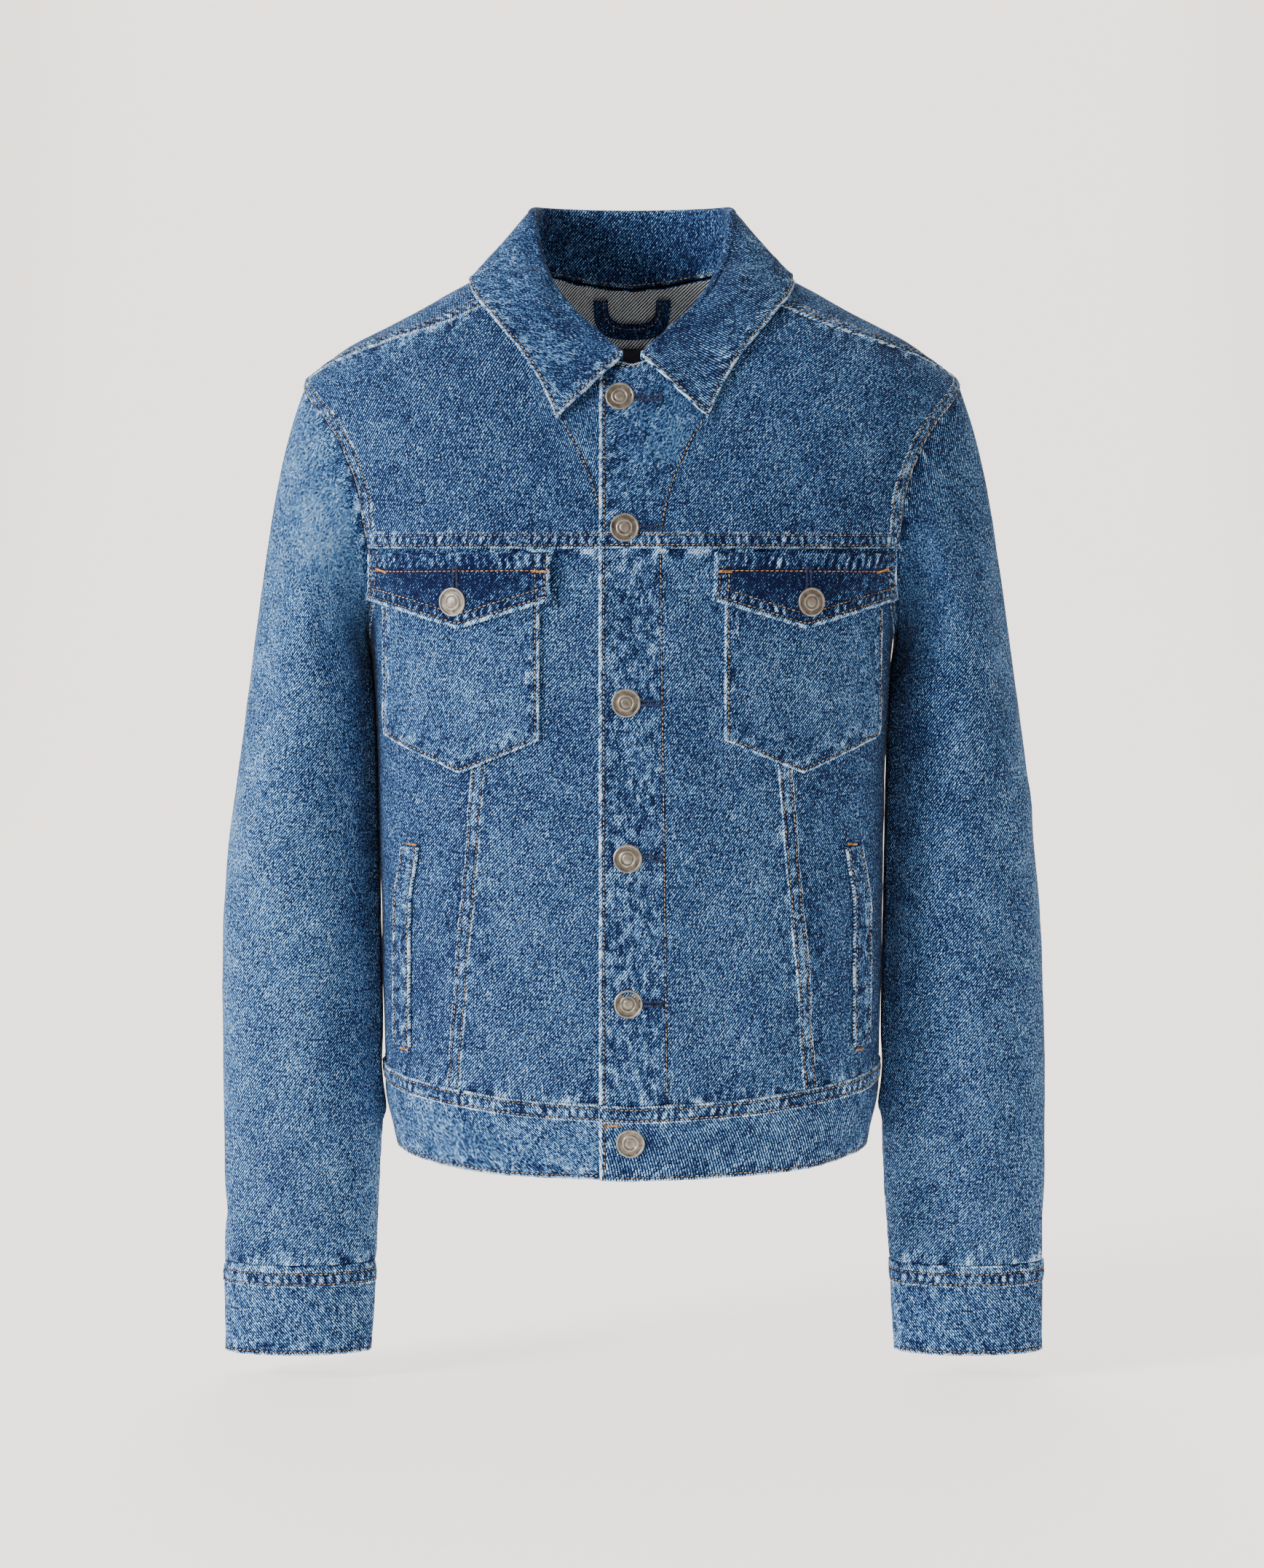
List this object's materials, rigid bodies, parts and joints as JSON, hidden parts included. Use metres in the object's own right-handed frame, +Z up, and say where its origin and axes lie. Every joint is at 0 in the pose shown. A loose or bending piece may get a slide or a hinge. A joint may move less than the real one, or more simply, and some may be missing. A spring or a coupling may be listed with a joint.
{
  "type": "denim jacket",
  "caption": "Waist-length denim trucker jacket in its worn form, with pointed flap pockets, slanted welts and shank buttons",
  "frame": {"origin": "middle of the neck, level with the back neck seam, where the wearer's neck holds the jacket", "axes": "+Z up along the wearer, the front faces -Y, +X is the wearer's left"},
  "size_m": [0.5643, 0.2548, 0.784],
  "materials": {
    "denim": "mid-blue stone-washed twill",
    "denim_dark": "less faded indigo twill",
    "denim_light": "more faded indigo twill",
    "label_cloth": "plain dark woven tape",
    "pewter": "antique pewter"
  },
  "bodies": {
    "root": {"front_yoke_R": "denim", "front_centre_R": "denim", "front_side_R": "denim", "sleeve_upper_R": "denim_light", "sleeve_under_R": "denim_light", "cuff_R": "denim", "pocket_flap_R": "denim_dark", "chest_pocket_R": "denim_light", "welt_R": "denim", "front_yoke_L": "denim", "front_centre_L": "denim", "front_side_L": "denim", "sleeve_upper_L": "denim_light", "sleeve_under_L": "denim_light", "cuff_L": "denim", "pocket_flap_L": "denim_dark", "chest_pocket_L": "denim_light", "welt_L": "denim", "back_yoke": "denim", "back_centre": "denim", "back_side_R": "denim", "back_side_L": "denim", "waistband": "denim", "collar": "denim_dark", "neck_label": "label_cloth", "hanger_loop": "denim_dark", "button_front_1": "pewter", "button_front_2": "pewter", "button_front_3": "pewter", "button_front_4": "pewter", "button_front_5": "pewter", "button_front_6": "pewter", "button_pocket_R": "pewter", "button_pocket_L": "pewter", "button_cuff_R": "pewter", "button_cuff_L": "pewter"}
  },
  "joints": []
}
